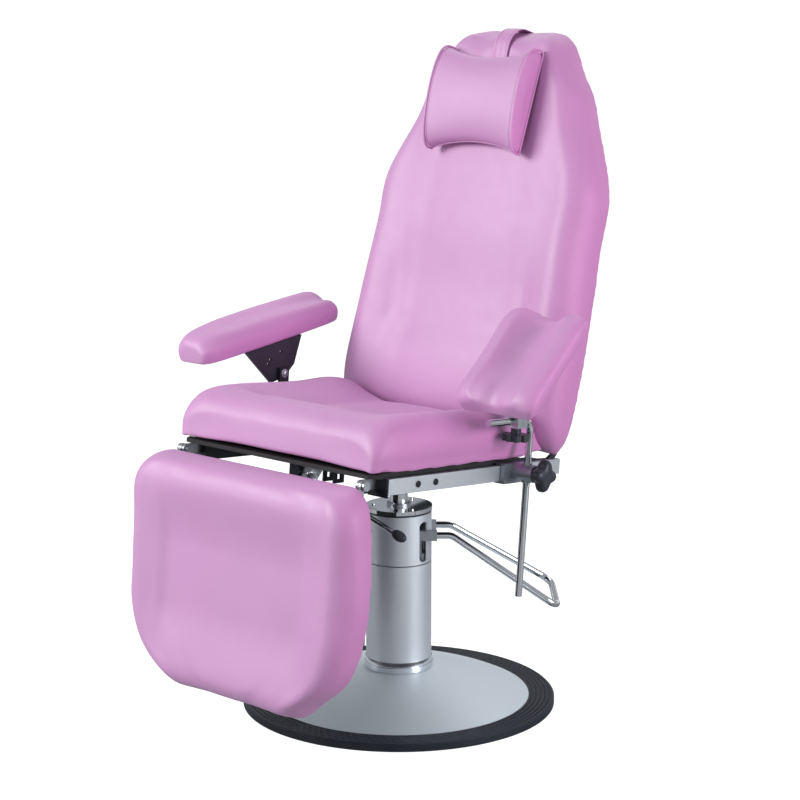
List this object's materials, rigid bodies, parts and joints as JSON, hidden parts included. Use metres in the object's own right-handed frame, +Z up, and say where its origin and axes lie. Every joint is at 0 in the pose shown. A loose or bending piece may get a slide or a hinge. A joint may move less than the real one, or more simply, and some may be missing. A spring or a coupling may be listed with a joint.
{
  "type": "phlebotomy chair",
  "caption": "Upholstered blood-draw chair on a round pedestal with pump pedal, linked reclining back and leg rest, head pillow, armrest and tilting arm tray.",
  "frame": {"origin": "on the floor under the column axis", "axes": "+Z up, the sitter faces -Y, +X is the sitter's left"},
  "size_m": [0.8195, 0.9327, 1.3556],
  "materials": {
    "vinyl": "smooth upholstery vinyl over foam, soft sheen",
    "satin_steel": "satin ground stainless sheet",
    "chrome": "bright chrome plate",
    "black_frame": "black powder coat",
    "forged_grey": "grey forged iron",
    "zinc_steel": "zinc-plated steel fittings",
    "black_plastic": "moulded black plastic",
    "black_rubber": "matt ribbed rubber",
    "board": "black-stained plywood"
  },
  "bodies": {
    "base": {"floor_ring": "black_rubber", "base_plate": "forged_grey", "base_dome": "satin_steel", "foot_ring": "chrome", "lower_shroud": "satin_steel", "upper_shroud": "satin_steel", "cap_seal": "black_rubber", "column_cap": "chrome", "cap_screws": "chrome", "ram_guide": "zinc_steel", "pump_tank": "black_frame", "pump_block": "forged_grey"},
    "plunger": {"pump_plunger": "zinc_steel"},
    "pedal": {"pedal_rocker": "forged_grey", "pedal_loop": "chrome"},
    "ram": {"ram": "chrome"},
    "seat": {"swivel_hub": "black_frame", "mount_plate": "black_frame", "left_side_tube": "black_frame", "right_side_tube": "black_frame", "left_rail": "satin_steel", "right_rail": "satin_steel", "cross_tubes": "black_frame", "rail_bolts": "zinc_steel", "seat_board": "board", "seat_cushion": "vinyl", "leg_hinge_ears": "zinc_steel", "back_hinge_ears": "zinc_steel", "hinge_pins": "zinc_steel", "spring_hanger": "black_frame", "lever_hanger": "black_frame", "lever_lug": "zinc_steel", "armrest_support": "black_frame"},
    "lever": {"lever_rod": "chrome", "lever_knob": "black_plastic"},
    "legrest": {"leg_hinge_leaves": "zinc_steel", "leg_board": "board", "leg_cushion": "vinyl", "leg_crank": "black_frame"},
    "backrest": {"back_arms": "black_frame", "back_panel": "black_plastic", "back_cushion": "vinyl", "back_cranks": "black_frame", "headrest_strap": "vinyl"},
    "pillow": {"headrest_pillow": "vinyl"},
    "sync_link": {"sync_rod": "black_frame"},
    "gas_barrel": {"spring_barrel": "black_frame"},
    "gas_rod": {"spring_rod": "chrome"},
    "armrest": {"armrest_plate": "black_frame", "armrest_pad": "vinyl"},
    "rail_carrier": {"rail_clamp": "zinc_steel"},
    "bush": {"post_bush": "zinc_steel"},
    "post": {"arm_post": "chrome"},
    "star": {"star_knob": "black_plastic"},
    "tray_carrier": {"tray_clamp": "zinc_steel"},
    "tray_wheel": {"tray_knob": "black_plastic"},
    "tray": {"tray_board": "black_plastic", "tray_pad": "vinyl"}
  },
  "joints": [
    {"name": "lift", "type": "slide", "parent": "base", "child": "ram", "axis": [0, 0, 1], "range_m": [0, 0.16]},
    {"name": "swivel", "type": "hinge", "parent": "ram", "child": "seat", "pos_m": [0, 0, 0.452], "axis": [0, 0, 1], "continuous": true},
    {"name": "backrest_recline", "type": "hinge", "parent": "seat", "child": "backrest", "pos_m": [0, 0.17616, 0.50379], "axis": [-1, 0, 0], "range_deg": [0, 70]},
    {"name": "legrest_raise", "type": "hinge", "parent": "seat", "child": "legrest", "pos_m": [0, -0.36557, 0.55348], "axis": [-1, 0, 0], "range_deg": [0, 70]},
    {"name": "sync_link_pivot", "type": "hinge", "parent": "backrest", "child": "sync_link", "pos_m": [0.075, 0.23249, 0.44699], "axis": [-1, 0, 0], "range_deg": [-70, 0]},
    {"name": "gas_barrel_pivot", "type": "hinge", "parent": "backrest", "child": "gas_barrel", "pos_m": [-0.08, 0.20197, 0.45865], "axis": [-1, 0, 0], "range_deg": [-70, 0]},
    {"name": "gas_rod_slide", "type": "slide", "parent": "gas_barrel", "child": "gas_rod", "axis": [0, 0.9958, -0.0913], "range_m": [0, 0.05965]},
    {"name": "pedal_press", "type": "hinge", "parent": "base", "child": "pedal", "pos_m": [0.02378, 0.02141, 0.35], "axis": [-0.6691, 0.7431, 0], "range_deg": [0, 20], "stiffness_Nm_per_rad": 8, "springref_deg": -34.38},
    {"name": "plunger_slide", "type": "slide", "parent": "base", "child": "plunger", "axis": [0, 0, -1], "range_m": [0, 0.00908]},
    {"name": "release_lever", "type": "hinge", "parent": "seat", "child": "lever", "pos_m": [0.063, -0.32801, 0.53597], "axis": [0, -0.9958, 0.0913], "range_deg": [0, 10], "stiffness_Nm_per_rad": 1, "springref_deg": -17.19},
    {"name": "armrest_swing", "type": "hinge", "parent": "seat", "child": "armrest", "pos_m": [-0.29, -0.0382, 0.65199], "axis": [-1, 0, 0], "range_deg": [0, 75]},
    {"name": "rail_slide", "type": "slide", "parent": "seat", "child": "rail_carrier", "axis": [0, 0.9958, -0.0913], "range_m": [-0.15, 0.03]},
    {"name": "post_swing", "type": "hinge", "parent": "rail_carrier", "child": "bush", "pos_m": [0.3, 0.03883, 0.51739], "axis": [0, 0.0913, 0.9958], "range_deg": [0, 60]},
    {"name": "post_height", "type": "slide", "parent": "bush", "child": "post", "axis": [0, 0.0913, 0.9958], "range_m": [0, 0.15]},
    {"name": "star_knob_turn", "type": "hinge", "parent": "rail_carrier", "child": "star", "pos_m": [0.322, 0.03883, 0.51739], "axis": [1, 0, 0], "continuous": true},
    {"name": "tray_slide", "type": "slide", "parent": "post", "child": "tray_carrier", "axis": [0, 0.9958, -0.0913], "range_m": [-0.065, 0]},
    {"name": "tray_knob_turn", "type": "hinge", "parent": "tray_carrier", "child": "tray_wheel", "pos_m": [0.3, 0.00267, 0.59401], "axis": [0, 0.0913, 0.9958], "continuous": true},
    {"name": "tray_tilt", "type": "hinge", "parent": "tray_carrier", "child": "tray", "pos_m": [0.3, 0.01117, 0.68663], "axis": [1, 0, 0], "range_deg": [-28, 3]},
    {"name": "pillow_slide", "type": "slide", "parent": "backrest", "child": "pillow", "axis": [0, 0.2807, 0.9598], "range_m": [-0.12, 0.02]}
  ],
  "couplings": [
    {"joint": "legrest_raise", "follows": "backrest_recline", "ratio": 1},
    {"joint": "sync_link_pivot", "follows": "backrest_recline", "ratio": -1},
    {"joint": "gas_barrel_pivot", "follows": "backrest_recline", "ratio": -1},
    {"joint": "gas_rod_slide", "follows": "backrest_recline", "m_per_rad": 0.048826},
    {"joint": "plunger_slide", "follows": "pedal_press", "m_per_rad": 0.026}
  ]
}
